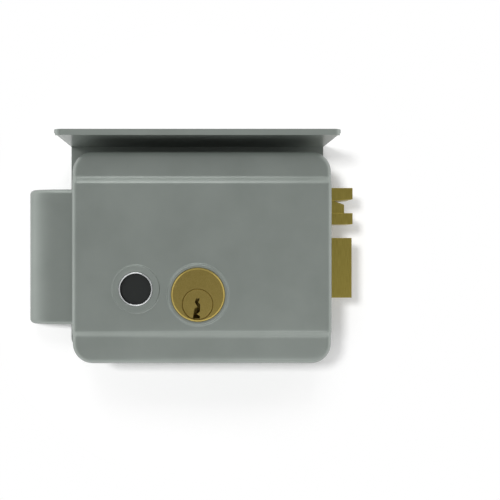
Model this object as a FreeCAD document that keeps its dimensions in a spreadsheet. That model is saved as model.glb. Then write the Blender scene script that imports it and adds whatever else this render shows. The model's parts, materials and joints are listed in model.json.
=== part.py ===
import FreeCAD, Part
import math
import os
import re
import Sketcher

# An electric gate lock in millimetres. The origin is the middle of the case on the gate's face.
# X runs towards the bolts, Z up, and Y into the gate, so the lock's front looks along -Y.
# "Away" is the distance from the gate's face towards the front, which is -Y.

SIZES = {
    # pressed cover
    "case_wide": 133.2,
    "frame_slack": 0.35,
    "face_slack": 6.2,
    "case_wall": 1.5,
    "case_corner": 10.5,
    "case_edge": 3.0,
    "band_top": 38.1,
    "band_low": 37.5,
    "band_step": 1.8,
    "bevel_run": 3.3,
    "collar_rise": 1.0,
    "collar_edge": 0.6,
    # rain hood
    "hood_wide": 142.4,
    "hood_middle": -2.3,
    "hood_gap": 7.45,
    "hood_over": 12.0,
    "hood_sheet": 1.5,
    "hood_lip": 1.5,
    "hood_rise": 1.05,
    "flange_corner": 8.0,
    "hood_corner": 4.0,
    "hood_bend": 1.4,
    # base plate with its folded forend
    "base_sheet": 2.0,
    "fold_gap": 0.3,
    "forend_lap": 1.6,
    "fixing_inset": 16.6,
    "fixing_drop": 9.55,
    "fixing_radius": 2.75,
    "cable_aside": 12.0,
    "cable_rise": 7.25,
    "cable_radius": 4.0,
    "tab_inset": 16.6,
    "tab_half": 4.0,
    "tab_deep": 14.0,
    "cover_screw_radius": 1.6,
    "cover_screw_head": 2.9,
    "cover_screw_away": 9.0,
    # carriage of the outside cylinder, with the wing that covers it
    "carriage_travel": 28.6,
    "carriage_sheet": 2.0,
    "carriage_gap": 1.5,
    "carriage_top": 8.0,
    "carriage_end": 4.0,
    "guide_x": -24.0,
    "guide_top": 3.5,
    "guide_rise": 4.0,
    "guide_radius": 2.0,
    "guide_head": 4.0,
    "seat_x": -13.8,
    "seat_radius": 13.7,
    "seat_slack": 1.5,
    "wing_high": 73.8,
    "wing_deep": 17.8,
    "wing_edge_deep": 10.0,
    "wing_round": 6.0,
    "wing_corner": 2.0,
    "wing_sheet": 1.2,
    "wing_inside": 4.2,
    "wing_flange": 7.4,
    "flange_inset": 3.2,
    "flange_wide": 22.0,
    "rivet_radius": 1.5,
    "rivet_head": 2.5,
    # bolts
    "bolt_back": 11.0,
    "bolt_thick": 16.0,
    "bolt_root": 45.0,
    "bolt_travel": 12.0,
    "latch_middle": -5.6,
    "latch_high": 31.6,
    "latch_out": 12.6,
    "latch_nose": 3.5,
    "latch_bevel": 10.8,
    "cocking_middle": 27.0,
    "cocking_high": 19.2,
    "cocking_out": 13.1,
    "notch_low": 23.3,
    "notch_high": 30.7,
    "notch_deep": 4.3,
    "wedge_deep": 9.6,
    "wedge_drop": 0.9,
    "wedge_low": 2.9,
    "step_deep": 0.8,
    "bolt_gap": 0.3,
    "tail_past": 4.0,
    "tail_thick": 3.0,
    "tail_half": 6.5,
    "spring_bore": 3.6,
    "spring_deep": 20.0,
    "spring_away": 21.0,
    # levers that draw and load the bolts
    "lever_arm": 20.0,
    "lever_away": 7.0,
    "lever_thick": 2.5,
    "lever_hub": 5.0,
    "lever_end": 3.6,
    "arm_taper": 0.85,
    "pivot_x": 20.0,
    "draw_aside": 0.4,
    "load_aside": 1.8,
    "pivot_radius": 2.5,
    "pivot_head": 4.0,
    "pivot_collar": 3.5,
    "pin_radius": 2.0,
    "running_gap": 0.05,
    "slot_gap": 0.15,
    "foot_x": -7.0,
    "foot_z": -11.0,
    "ear_x": -8.0,
    "ear_rise": 18.0,
    "ear_drop": 8.0,
    "ear_radius": 2.4,
    # frame over the bolts
    "frame_sheet": 2.0,
    "frame_past": 6.0,
    "frame_reach": 20.0,
    "frame_clear": 4.6,
    "frame_under": 19.6,
    "frame_over": 7.2,
    "frame_foot": 6.4,
    "frame_screw": 1.6,
    "screw_rise": 1.2,
    "frame_screw_head": 3.0,
    "stop_gap": 1.0,
    "stop_away": 17.5,
    "stop_half": 6.5,
    "rail_left": 48.0,
    # inside cylinder
    "cylinder_x": -2.0,
    "cylinder_z": -18.8,
    "cylinder_radius": 13.55,
    "cylinder_proud": 2.5,
    "cylinder_back": 18.0,
    "cylinder_rim": 0.7,
    "cylinder_collar": 15.4,
    "nut_radius": 16.8,
    "nut_thick": 4.0,
    "plug_off_x": -0.2,
    "plug_drop": 4.8,
    "plug_radius": 7.85,
    "plug_rim": 0.4,
    "key_half": 2.0,
    "key_top": 3.0,
    "key_low": 7.2,
    "key_deep": 20.0,
    "cam_reach": 19.0,
    "cam_half": 2.5,
    # push button
    "button_x": -33.7,
    "button_z": -16.0,
    "button_radius": 7.55,
    "button_sunk": 1.7,
    "button_thick": 3.0,
    "button_travel": 3.5,
    "button_edge": 0.4,
    "button_stem": 2.6,
    "stem_gap": 0.5,
    "bezel_radius": 8.6,
    "bezel_proud": 1.4,
    "spring_solid": 2.3,
    "bezel_collar": 12.5,
    "bezel_nut": 11.5,
    # electromagnet
    "coil_x": -10.0,
    "coil_away": 20.0,
    "coil_radius": 11.0,
    "bobbin_radius": 12.2,
    "bobbin_tube": 5.5,
    "bobbin_flange": 1.5,
    "bobbin_high": 26.0,
    "core_radius": 4.0,
    "core_rise": 1.0,
    "yoke_sheet": 2.0,
    "yoke_z": 12.0,
    "yoke_left": -26.0,
    "yoke_right": 9.5,
    "yoke_half": 10.0,
    "yoke_foot": 10.0,
    "armature_gap": 2.2,
    "hinge_pin": 1.5,
    "hinge_knuckle": 3.0,
    "armature_end": 12.0,
    "armature_thick": 2.0,
    "hook_drop": 2.5,
    "arm_wide": 6.0,
    "arm_sheet": 1.5,
    "foot_high": 10.0,
    "foot_under": 3.0,
    "foot_aside": 3.3,
    "foot_away": 18.5,
    "return_spring_x": 6.5,
    # terminals and cable entry
    "block_aside": 6.0,
    "block_wide": 18.0,
    "block_inset": 1.25,
    "block_high": 8.0,
    "block_deep": 10.5,
    "terminal_inset": 4.5,
    "terminal_well": 2.4,
    "terminal_head": 2.3,
    "terminal_shank": 1.2,
    "terminal_deep": 6.3,
    "port_half": 1.4,
    "grommet_flange": 5.0,
    "grommet_bore": 3.0,
    "wire_side": 0.7,
    "spring_radius": 2.6,
}

document = FreeCAD.newDocument("gate_lock")
sheet = document.addObject("Spreadsheet::Sheet", "Sizes")
for row, (alias, size) in enumerate(SIZES.items(), start=1):
    sheet.set(f"A{row}", alias)
    sheet.set(f"B{row}", str(size))
    sheet.setAlias(f"B{row}", alias)
document.recompute()

PLANES = {"front": "XZ_Plane", "side": "YZ_Plane", "top": "XY_Plane"}

# Places and measures that several pieces share, each worked out from the sizes above.
PLACES = {
    "case_high": "2 * (max(frame_high; frame_foot - frame_low) + frame_slack + fold_gap + case_wall)",
    "case_deep": "frame_front + screw_rise + face_slack + band_step + case_wall",
    "frame_front": "bolt_back + bolt_thick + bolt_gap + frame_sheet",
    "hood_under": "case_high / 2 + hood_gap",
    "hood_deep": "case_deep + hood_over",
    "hood_drop": "case_high / 2 - hood_rise",
    "cable_z": "cable_rise - case_high / 2",
    "tab_x": "case_wide / 2 - tab_inset",
    "flange_left": "flange_inset - case_wide / 2 - carriage_travel",
    "flange_right": "flange_left + flange_wide",
    "rivet_x": "flange_left + flange_wide / 2",
    "tail_end": "pivot_x + bolt_travel / 2 - tail_past",
    "draw_pivot_z": "latch_middle - lever_arm - draw_aside",
    "load_pivot_z": "cocking_middle + lever_arm - load_aside",
    "frame_left": "pivot_x - frame_past",
    "frame_right": "pivot_x + frame_reach",
    "frame_wide": "case_wide / 2 - base_sheet - frame_clear",
    "frame_low": "draw_pivot_z - frame_under",
    "frame_high": "load_pivot_z + frame_over",
    "stop_x": "bolt_root - bolt_travel - stop_gap - frame_sheet",
    "cylinder_front": "case_deep + cylinder_proud",
    "button_face": "case_deep - button_sunk",
    "bezel_front": "case_deep + bezel_proud",
    "button_stem_end": "foot_away + arm_sheet + stem_gap + button_travel",
    "hinge_x": "yoke_left + yoke_sheet / 2",
    "hinge_z": "yoke_z + yoke_sheet + bobbin_high + core_rise + armature_gap + armature_thick / 2",
    "armature_foot": "button_z - foot_under",
    "foot_left": "button_x - foot_aside",
    "block_low": "case_wall + fold_gap + block_inset - case_high / 2",
    "block_middle": "block_low + block_high / 2",
    "block_left": "tab_half + block_aside - tab_x",
    "block_right": "block_left + block_wide",
    "cable_x": "block_right + cable_aside",
    "carriage_low": "-(block_low + block_high + carriage_gap)",
    "guide_low": "guide_rise - carriage_low",
}
CASE_RIGHT = "case_wide / 2"
CASE_LEFT = "-case_wide / 2"
BASE_FRONT = "(hood_sheet + base_sheet)"
FACE_INSIDE = "(case_deep - case_wall)"
BOLT_FRONT = "(bolt_back + bolt_thick)"
FRAME_BACK = "(bolt_back + bolt_thick + bolt_gap)"
FOREND_DEEP = "(bolt_back + bolt_thick + bolt_gap + forend_lap)"
FOREND_LOW = "(latch_middle - latch_high / 2 - bolt_gap - forend_lap)"
FOREND_HIGH = "(cocking_middle + cocking_high / 2 + bolt_gap + forend_lap)"
CARRIAGE_BACK = "(hood_sheet + base_sheet + fold_gap)"
CARRIAGE_FRONT = "(hood_sheet + base_sheet + fold_gap + carriage_sheet)"
WING_HALF = "(wing_high / 2)"
WING_LEFT = "(-case_wide / 2 - carriage_travel)"
PIN_RISE = "sqrt(lever_arm ^ 2 - bolt_travel ^ 2 / 4)"
PIN_X = "(pivot_x + bolt_travel / 2)"
PLUG_X = "(cylinder_x + plug_off_x)"
PLUG_Z = "(cylinder_z - plug_drop)"
BOBBIN_LOW = "(yoke_z + yoke_sheet)"
BUTTON_BACK = "(button_face - button_thick)"
BEZEL_FLOOR = "(button_face - button_thick - button_travel - spring_solid)"
BEZEL_BACK = "(button_face - button_thick - button_travel - spring_solid - case_wall)"
FRAME_SCREWS = [
    ("frame_right - frame_foot / 2", "frame_high - frame_sheet - frame_foot / 2"),
    ("(frame_left + frame_right) / 2", "frame_low - frame_foot / 2"),
]
YOKE_SCREWS = [
    ("yoke_left + yoke_foot / 2", "yoke_z + yoke_sheet + yoke_foot / 2"),
    ("yoke_right - yoke_foot / 2", "yoke_z + yoke_sheet + yoke_foot / 2"),
]
TERMINALS = [
    ("block_left + terminal_inset", "block_middle"),
    ("block_right - terminal_inset", "block_middle"),
]
GUIDES = [("guide_x", "guide_top"), ("guide_x", "guide_low")]
RIVETS = [("rivet_x", f"{side} * (wing_high - wing_flange) / 2") for side in (-1, 1)]


def bound(text):
    """The expression text with each size's name pointing at its cell, and each shared place written out."""

    def point(word):
        name = word[0]
        if name in PLACES:
            return f"({bound(PLACES[name])})"
        return f"Sizes.{name}" if name in SIZES else name

    return re.sub(r"[a-z][a-z_]+", point, text)


def amount(text):
    """The number that an expression gives now."""
    return float(sheet.evalExpression(bound(text)))


def piece(label, across="0", into="0", up="0"):
    """A new sub-part whose own origin stands at the given place."""
    body = document.addObject("PartDesign::Body", label)
    body.Label = label
    body.AllowCompound = True
    for axis, text in (("x", across), ("y", into), ("z", up)):
        if text != "0":
            body.setExpression(f".Placement.Base.{axis}", bound(text))
    return body


def sketch_on(body, plane, away):
    """An empty sketch parallel to one of the sub-part's own origin planes."""
    flat = next(item for item in body.Origin.OriginFeatures if item.Role == PLANES[plane])
    sketch = body.newObject("Sketcher::SketchObject", "Outline")
    sketch.AttachmentSupport = (flat, "")
    sketch.MapMode = "FlatFace"
    sketch.setExpression(".AttachmentOffset.Base.z", bound(away))
    return sketch


def pin_down(sketch, element, point, across, up):
    """Fix one point of a sketch at the place that two expressions give."""
    for kind, text in (("DistanceX", across), ("DistanceY", up)):
        index = sketch.addConstraint(Sketcher.Constraint(kind, -1, 1, element, point, amount(text)))
        sketch.setExpression(f"Constraints[{index}]", bound(text))


def outline(body, plane, away, corners):
    """A closed outline of straight lines through the given corners."""
    sketch = sketch_on(body, plane, away)
    spots = [FreeCAD.Vector(amount(across), amount(up), 0) for across, up in corners]
    count = len(spots)
    for index, spot in enumerate(spots):
        sketch.addGeometry(Part.LineSegment(spot, spots[(index + 1) % count]))
    for index, (across, up) in enumerate(corners):
        sketch.addConstraint(Sketcher.Constraint("Coincident", index, 2, (index + 1) % count, 1))
        pin_down(sketch, index, 1, across, up)
    return sketch


def ring(body, plane, away, across, up, *radii):
    """One circle, or several round the same centre."""
    sketch = sketch_on(body, plane, away)
    centre = FreeCAD.Vector(amount(across), amount(up), 0)
    for index, radius in enumerate(radii):
        sketch.addGeometry(Part.Circle(centre, FreeCAD.Vector(0, 0, 1), amount(radius)))
        pin_down(sketch, index, 3, across, up)
        place = sketch.addConstraint(Sketcher.Constraint("Radius", index, amount(radius)))
        sketch.setExpression(f"Constraints[{place}]", bound(radius))
    return sketch


def rounded(body, plane, away, wide, high, radius):
    """A rectangle round the origin with its four corners as arcs."""
    sketch = sketch_on(body, plane, away)
    side, top = f"({wide}) / 2", f"({high}) / 2"
    across, up = f"({side} - ({radius}))", f"({top} - ({radius}))"
    lines = [
        ((f"-{across}", f"-({top})"), (across, f"-({top})")),
        ((side, f"-{up}"), (side, up)),
        ((across, top), (f"-{across}", top)),
        ((f"-({side})", up), (f"-({side})", f"-{up}")),
    ]
    for ends in lines:
        sketch.addGeometry(Part.LineSegment(*[FreeCAD.Vector(amount(x), amount(y), 0) for x, y in ends]))
    for index, (sign_x, sign_y) in enumerate(((1, -1), (1, 1), (-1, 1), (-1, -1))):
        centre = FreeCAD.Vector(sign_x * amount(across), sign_y * amount(up), 0)
        circle = Part.Circle(centre, FreeCAD.Vector(0, 0, 1), amount(radius))
        start = math.radians(90 * (index - 1))
        sketch.addGeometry(Part.ArcOfCircle(circle, start, start + math.pi / 2))
    for index, ends in enumerate(lines):
        pin_down(sketch, index, 1, *ends[0])
        pin_down(sketch, index, 2, *ends[1])
        sketch.addConstraint(Sketcher.Constraint("Coincident", 4 + index, 1, index, 2))
        sketch.addConstraint(Sketcher.Constraint("Coincident", 4 + index, 2, (index + 1) % 4, 1))
        place = sketch.addConstraint(Sketcher.Constraint("Radius", 4 + index, amount(radius)))
        sketch.setExpression(f"Constraints[{place}]", bound(radius))
    return sketch


def box(left, right, low, high):
    """The corners of an upright rectangle."""
    return [(left, low), (right, low), (right, high), (left, high)]


def bar(start, end, half):
    """The corners of a straight bar of the given half width between two centres."""
    (start_x, start_z), (end_x, end_z) = start, end
    run = f"(({end_x}) - ({start_x}))"
    rise = f"(({end_z}) - ({start_z}))"
    span = f"sqrt({run} ^ 2 + {rise} ^ 2)"
    aside = f"({half}) * {rise} / {span}"
    above = f"({half}) * {run} / {span}"
    return [
        (f"({start_x}) + {aside}", f"({start_z}) - {above}"),
        (f"({end_x}) + {aside}", f"({end_z}) - {above}"),
        (f"({end_x}) - {aside}", f"({end_z}) + {above}"),
        (f"({start_x}) - {aside}", f"({start_z}) + {above}"),
    ]


def grow(body, sketch, length):
    """Pad a sketch along its normal."""
    pad = body.newObject("PartDesign::Pad", "Pad")
    pad.Profile = sketch
    pad.setExpression("Length", bound(length))
    return pad


def cut(body, sketch, length):
    """Pocket a sketch against its normal, and check that it took material away."""
    document.recompute()
    before = body.Tip.Shape.Volume
    pocket = body.newObject("PartDesign::Pocket", "Pocket")
    pocket.Profile = sketch
    pocket.setExpression("Length", bound(length))
    document.recompute()
    if not pocket.Shape.Volume < before - 1e-6:
        raise RuntimeError(f"a pocket of {body.Label} cuts nothing")
    return pocket


def slab(body, away, thick, corners):
    """A flat piece of the given outline, from its back at away towards the front."""
    return grow(body, outline(body, "front", away, corners), thick)


def disc(body, away, thick, across, up, *radii):
    """A round piece or ring that faces the front."""
    return grow(body, ring(body, "front", away, across, up, *radii), thick)


def window(body, away, deep, corners):
    """A cut of the given outline, from its front at away back towards the gate."""
    return cut(body, outline(body, "front", away, corners), deep)


def hole(body, away, deep, across, up, radius):
    """A round cut, from its front at away back towards the gate."""
    return cut(body, ring(body, "front", away, across, up, radius), deep)


def slot(body, away, deep, left, right, up, radius):
    """A cut with round ends, level from one centre to the other."""
    window(body, away, deep, box(left, right, f"({up}) - ({radius})", f"({up}) + ({radius})"))
    hole(body, away, deep, left, up, radius)
    hole(body, away, deep, right, up, radius)


def edges_of(feature, wanted):
    """The names of a feature's edges that pass a test."""
    document.recompute()
    return [f"Edge{number}" for number, edge in enumerate(feature.Shape.Edges, start=1) if wanted(edge)]


def edge_at(runs=None, near=0.01, **places):
    """A test for edges that run along one axis through one of the given places on the others."""
    numbers = {axis: [amount(text) for text in texts] for axis, texts in places.items()}

    def wanted(edge):
        bounds = edge.BoundBox
        spans = {"x": bounds.XLength, "y": bounds.YLength, "z": bounds.ZLength}
        middle = {"x": bounds.Center.x, "y": bounds.Center.y, "z": bounds.Center.z}
        if runs and any(span > near for axis, span in spans.items() if axis != runs):
            return False
        if runs and spans[runs] < near:
            return False
        nearest = [min(abs(middle[axis] - spot) for spot in spots) for axis, spots in numbers.items()]
        return all(distance < near for distance in nearest)

    return wanted


def soften(body, radius, wanted, kind="Fillet"):
    """Round or bevel the edges of the sub-part's last feature that pass the test."""
    document.recompute()
    feature = body.Tip
    names = edges_of(feature, wanted)
    if not names:
        raise RuntimeError(f"no edge of {body.Label} to soften")
    softened = body.newObject(f"PartDesign::{kind}", kind)
    softened.Base = (feature, names)
    softened.setExpression("Radius" if kind == "Fillet" else "Size", bound(radius))
    document.recompute()
    return softened


def screws(label, spots, head, shank, under, rise, deep):
    """Round-headed screws that face the front, their heads' underside at under."""
    body = piece(label)
    for across, up in spots:
        disc(body, f"{under} - ({deep})", deep, across, up, shank)
        disc(body, under, rise, across, up, head)
    return body


def spring(label, plane, axis, length, turns, place, radius="spring_radius"):
    """A coil spring of square wire along one axis of its plane, starting at its own origin."""
    across, into, up = place
    body = piece(label, across, into, up)
    inner = f"{radius} - wire_side"
    if axis == "V_Axis":
        corners = box(inner, radius, "0", "wire_side")
    else:
        corners = box("0", "wire_side", inner, radius)
    helix = body.newObject("PartDesign::AdditiveHelix", "Helix")
    sketch = outline(body, plane, "0", corners)
    helix.Profile = sketch
    helix.ReferenceAxis = (sketch, [axis])
    helix.Mode = "height-turns-angle"
    helix.setExpression("Height", bound(f"({length}) - wire_side"))
    helix.Turns = turns
    body.removeObject(helix)
    body.addObject(helix)
    document.recompute()
    return body


def fixing_spots():
    """The four places where the lock is screwed to the gate."""
    return [
        (f"{side} * (case_wide / 2 - fixing_inset)", f"{level} * (case_high / 2 - fixing_drop)")
        for side in (-1, 1)
        for level in (-1, 1)
    ]


def back_openings(body, away, deep):
    """The openings that the hood's flange and the base plate share."""
    for across, up in fixing_spots():
        hole(body, away, deep, across, up, "fixing_radius")
    slot(
        body, away, deep, "seat_x", "seat_x + carriage_travel", "cylinder_z", "seat_radius + seat_slack"
    )
    hole(body, away, deep, "cable_x", "cable_z", "cable_radius")


def make_rain_hood():
    """A sheet bent into a flange behind the lock and a roof with a small turned-down lip."""
    hood = piece("rain_hood")
    left = "hood_middle - hood_wide / 2"
    right = "hood_middle + hood_wide / 2"
    top = "hood_under + hood_sheet"
    slab(hood, "0", "hood_sheet", box(left, right, "-hood_drop", top))
    roof = outline(hood, "top", "hood_under", box(left, right, "-hood_deep", "0"))
    grow(hood, roof, "hood_sheet")
    lip = box(left, right, "hood_under - hood_lip", "hood_under")
    slab(hood, "hood_deep - hood_sheet", "hood_sheet", lip)
    soften(hood, "hood_corner", edge_at("z", x=(left, right), y=("-hood_deep",)))
    soften(hood, "hood_bend", edge_at("x", y=("0",), z=(top,)))
    soften(hood, "flange_corner", edge_at("y", x=(left, right), z=("-hood_drop",)))
    back_openings(hood, "hood_sheet", "hood_sheet")
    return hood


def make_base_plate():
    """The steel back plate, its right side folded forward as the forend that guides the bolts."""
    plate = piece("base_plate")
    right = "case_wide / 2 - case_wall - fold_gap"
    left = f"-({right})"
    top = "case_high / 2 - case_wall - fold_gap"
    low = f"-({top})"
    slab(plate, "hood_sheet", "base_sheet", box(left, right, low, top))
    soften(plate, "case_corner - case_wall", edge_at("y", x=(left, right), z=(low, top)))
    root = box("case_wide / 2 - case_corner", CASE_RIGHT, FOREND_LOW, FOREND_HIGH)
    slab(plate, "hood_sheet", "base_sheet", root)
    forend = box("case_wide / 2 - base_sheet", CASE_RIGHT, FOREND_LOW, FOREND_HIGH)
    slab(plate, "hood_sheet", f"{FOREND_DEEP} - hood_sheet", forend)
    soften(plate, "hood_bend", edge_at("z", x=(CASE_RIGHT,), y=("-hood_sheet",)))
    for side in (-1, 1):
        tab = box(f"{side} * tab_x - tab_half", f"{side} * tab_x + tab_half", low, f"{low} + base_sheet")
        slab(plate, "hood_sheet", "tab_deep", tab)
    for middle, high in (("latch_middle", "latch_high"), ("cocking_middle", "cocking_high")):
        half = f"({high} / 2 + bolt_gap)"
        front = f"-{BOLT_FRONT} - bolt_gap"
        corners = box(front, "-bolt_back + bolt_gap", f"{middle} - {half}", f"{middle} + {half}")
        cut(plate, outline(plate, "side", f"{CASE_RIGHT} + 1", corners), "base_sheet + 2")
    back_openings(plate, BASE_FRONT, "base_sheet")
    for up in ("guide_top", "guide_low"):
        hole(plate, BASE_FRONT, "base_sheet", "guide_x", up, "guide_radius")
    for across, up in FRAME_SCREWS + YOKE_SCREWS:
        hole(plate, BASE_FRONT, "base_sheet", across, up, "frame_screw")
    for side in (-1, 1):
        spot = (f"{side} * tab_x", "-cover_screw_away")
        cut(plate, ring(plate, "top", f"{low} + base_sheet", *spot, "cover_screw_radius"), "base_sheet")
    return plate


def make_front_cover():
    """The pressed cover: a raised band between two sunken panels, soft edges, two round collars."""
    cover = piece("front_cover")
    top = "case_high / 2"
    low = "-case_high / 2"
    slab(cover, "hood_sheet", "case_deep - hood_sheet", box(CASE_LEFT, CASE_RIGHT, low, top))
    panels = [("band_top", "bevel_run", "case_high"), ("-band_low", "-bevel_run", "-case_high")]
    for level, edge, beyond in panels:
        sunken = [
            ("-case_deep - 1", level),
            ("-case_deep", level),
            ("-case_deep + band_step", f"{level} + ({edge})"),
            ("-case_deep + band_step", beyond),
            ("-case_deep - 1", beyond),
        ]
        cut(cover, outline(cover, "side", "case_wide", sunken), "case_wide * 2")
    soften(cover, "case_corner", edge_at("y", x=(CASE_LEFT, CASE_RIGHT), z=(low, top)))
    soften(cover, "case_edge", outer_front_edge)
    inner_right = "case_wide / 2 - case_wall"
    inner_top = "case_high / 2 - case_wall"
    inner_face = "case_deep - band_step - case_wall"
    hollow = rounded(
        cover, "front", inner_face, f"2 * ({inner_right})", f"2 * ({inner_top})", "case_corner - case_wall"
    )
    cut(cover, hollow, f"{inner_face} - hood_sheet")
    band = [
        (f"-({inner_face})", "-band_low - bevel_run + case_wall / 3"),
        (f"-{FACE_INSIDE}", "-band_low + case_wall / 3"),
        (f"-{FACE_INSIDE}", "band_top - case_wall / 3"),
        (f"-({inner_face})", "band_top + bevel_run - case_wall / 3"),
    ]
    cut(cover, outline(cover, "side", inner_right, band), f"2 * ({inner_right})")
    for across, up, outer, inner in (
        ("cylinder_x", "cylinder_z", "cylinder_collar", "cylinder_radius + running_gap"),
        ("button_x", "button_z", "bezel_collar", "bezel_radius + running_gap"),
    ):
        disc(cover, FACE_INSIDE, "case_wall + collar_rise", across, up, outer)
        hole(cover, "case_deep + collar_rise", "case_wall + collar_rise", across, up, inner)
    soften(cover, "collar_edge", collar_rim)
    notch_left = "case_wide / 2 - case_wall - 1"
    window(
        cover,
        "wing_deep + fold_gap",
        "wing_deep + fold_gap - hood_sheet",
        box(f"{CASE_LEFT} - 1", f"-({notch_left})", f"-{WING_HALF} - fold_gap", f"{WING_HALF} + fold_gap"),
    )
    window(
        cover,
        f"{FOREND_DEEP} + fold_gap",
        f"{FOREND_DEEP} + fold_gap - hood_sheet",
        box(notch_left, f"{CASE_RIGHT} + 1", f"{FOREND_LOW} - fold_gap", f"{FOREND_HIGH} + fold_gap"),
    )
    for side in (-1, 1):
        spot = (f"{side} * tab_x", "-cover_screw_away")
        cut(cover, ring(cover, "top", f"{low} + case_wall", *spot, "cover_screw_radius"), "case_wall")
        cut(cover, ring(cover, "top", f"{low} + case_wall / 2", *spot, "cover_screw_head"), "case_wall")
    return cover


def outer_front_edge(edge):
    """The edges round the cover's front, bevel ends included, but not the creases across it."""
    bounds = edge.BoundBox
    front = -amount("case_deep")
    if bounds.YMin < front - 0.01 or bounds.YMax > front + amount("band_step") + 0.01:
        return False
    if bounds.XLength > amount("case_wide") - 3 * amount("case_corner"):
        return abs(abs(bounds.Center.z) - amount("case_high") / 2) < 0.01
    return True


def collar_rim(edge):
    """The outer edges of the two raised collars."""
    bounds = edge.BoundBox
    widths = [2 * amount("cylinder_collar"), 2 * amount("bezel_collar")]
    on_top = abs(bounds.YMin + amount("case_deep + collar_rise")) < 0.01 and bounds.YLength < 0.01
    return on_top and min(abs(bounds.XLength - width) for width in widths) < 0.01


def make_cover_screws():
    """Countersunk screws that hold the cover's bottom wall to the base plate's tabs."""
    body = piece("cover_screws")
    low = "-case_high / 2"
    for side in (-1, 1):
        spot = (f"{side} * tab_x", "-cover_screw_away")
        grow(body, ring(body, "top", low, *spot, "cover_screw_head"), "case_wall / 2")
        grow(body, ring(body, "top", low, *spot, "cover_screw_radius"), "2 * case_wall + base_sheet")
    return body


def make_slide_plate():
    """The plate that carries the outside cylinder and slides behind the mechanism."""
    plate = piece("slide_plate")
    inner = f"{WING_HALF} - wing_sheet"
    step = "seat_x - seat_radius - carriage_travel"
    left = f"{WING_LEFT} + 2 * wing_sheet"
    corners = [
        (left, f"-({inner})"),
        (step, f"-({inner})"),
        (step, "-carriage_low"),
        ("carriage_end", "-carriage_low"),
        ("carriage_end", "carriage_top"),
        (step, "carriage_top"),
        (step, inner),
        (left, inner),
    ]
    slab(plate, CARRIAGE_BACK, "carriage_sheet", corners)
    hole(plate, CARRIAGE_FRONT, "carriage_sheet", "seat_x", "cylinder_z", "seat_radius")
    for up in ("guide_top", "guide_low"):
        left_end = "guide_x - carriage_travel"
        slot(plate, CARRIAGE_FRONT, "carriage_sheet", left_end, "guide_x", up, "guide_radius + slot_gap")
    for across, up in RIVETS:
        hole(plate, CARRIAGE_FRONT, "carriage_sheet", across, up, "rivet_radius")
    return plate


def make_side_wing():
    """The hollow fairing on the carriage's outer end, open to the gate and into the case."""
    wing = piece("side_wing")
    right = f"{CASE_LEFT} + wing_inside"
    slope = "((wing_deep - wing_edge_deep) / (carriage_travel + wing_inside))"
    outer = [
        (WING_LEFT, f"-{CARRIAGE_BACK}"),
        (WING_LEFT, "-wing_edge_deep"),
        (right, "-wing_deep"),
        (right, f"-{CARRIAGE_BACK}"),
    ]
    grow(wing, outline(wing, "top", f"-{WING_HALF}", outer), "wing_high")
    soften(wing, "wing_round", edge_at("z", x=(WING_LEFT,), y=("-wing_edge_deep",)))
    soften(wing, "wing_corner", wing_end_edge)
    left = f"{WING_LEFT} + wing_sheet"
    cut_back = "wing_round * 0.7"
    inner = [
        (left, f"-{CARRIAGE_BACK} + 1"),
        (left, f"-wing_edge_deep + wing_sheet + {cut_back}"),
        (f"{left} + {cut_back}", f"-wing_edge_deep + wing_sheet - {cut_back} * {slope}"),
        (f"{right} + 1", "-wing_deep + wing_sheet"),
        (f"{right} + 1", f"-{CARRIAGE_BACK} + 1"),
    ]
    cut(wing, outline(wing, "top", f"{WING_HALF} - wing_sheet", inner), "wing_high - 2 * wing_sheet")
    for side in (-1, 1):
        ends = (f"{side} * ({WING_HALF} - wing_sheet / 2)", f"{side} * ({WING_HALF} - wing_flange)")
        flange = box("flange_left", "flange_right", *sorted(ends, key=amount))
        slab(wing, CARRIAGE_FRONT, "wing_sheet", flange)
    for across, up in RIVETS:
        hole(wing, f"{CARRIAGE_FRONT} + wing_sheet", "wing_sheet", across, up, "rivet_radius")
    return wing


def wing_end_edge(edge):
    """The edges round the wing's two flat ends, apart from its open back and open right side."""
    bounds = edge.BoundBox
    on_end = abs(abs(bounds.Center.z) - amount(WING_HALF)) < 0.01 and bounds.ZLength < 0.01
    at_back = abs(bounds.YMax + amount(CARRIAGE_BACK)) < 0.01 and bounds.YLength < 0.01
    at_side = bounds.XLength < 0.01 and bounds.Center.x > amount(CASE_LEFT)
    return on_end and not at_back and not at_side


def make_wing_rivets():
    """Two rivets that join the wing's flanges to the slide plate."""
    body = piece("wing_rivets")
    through = "carriage_sheet + wing_sheet"
    for across, up in RIVETS:
        disc(body, CARRIAGE_BACK, f"{through} + wing_sheet", across, up, "rivet_radius")
        disc(body, f"{CARRIAGE_FRONT} + wing_sheet", "wing_sheet", across, up, "rivet_head")
    return body


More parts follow.
